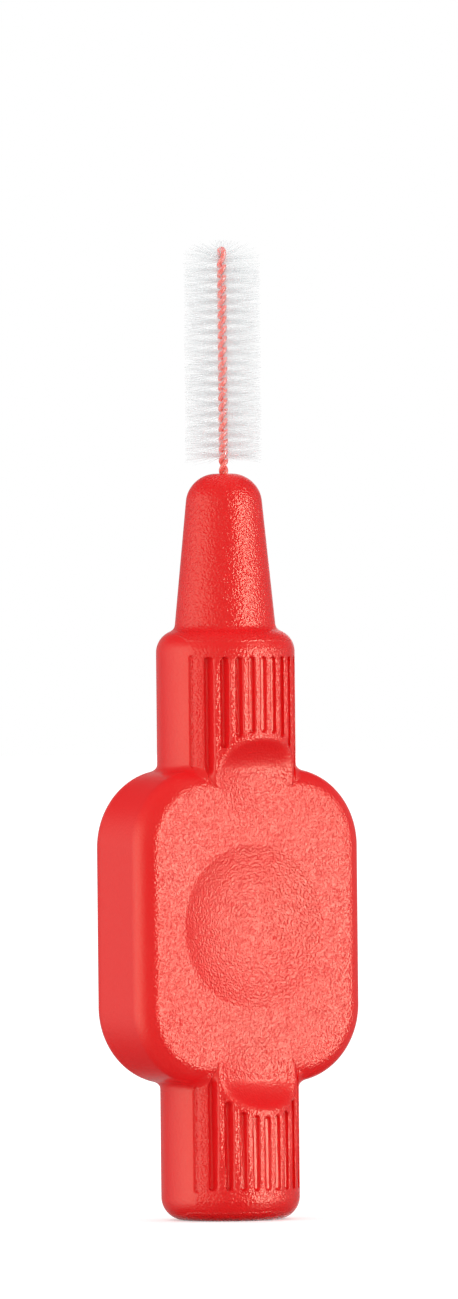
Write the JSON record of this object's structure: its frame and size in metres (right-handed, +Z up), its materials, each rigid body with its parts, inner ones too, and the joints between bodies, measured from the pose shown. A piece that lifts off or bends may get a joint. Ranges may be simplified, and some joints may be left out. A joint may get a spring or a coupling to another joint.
{
  "type": "interdental brush",
  "caption": "Interdental brush: coated, twisted wire with radiating nylon filaments, held in the tapered neck of a moulded handle with a fluted round grip and a flat, dished grip plate.",
  "frame": {"origin": "middle of the flat butt that the brush stands on", "axes": "+Z up the brush from butt to bristles, +X across the grip plate, and the plate's front face looks along -Y"},
  "size_m": [0.0148, 0.0076, 0.0544],
  "materials": {
    "moulded_red": "fine spark-eroded grain on grip, plate and shoulder, smoother on the flanks",
    "steel_wire": "drawn stainless wire",
    "wire_coat": "thin glossy polymer coat",
    "nylon": "clear to white nylon monofilament"
  },
  "bodies": {
    "root": {"handle": "moulded_red", "wire_core": "steel_wire", "wire_coating": "wire_coat", "filaments": "nylon"}
  },
  "joints": []
}
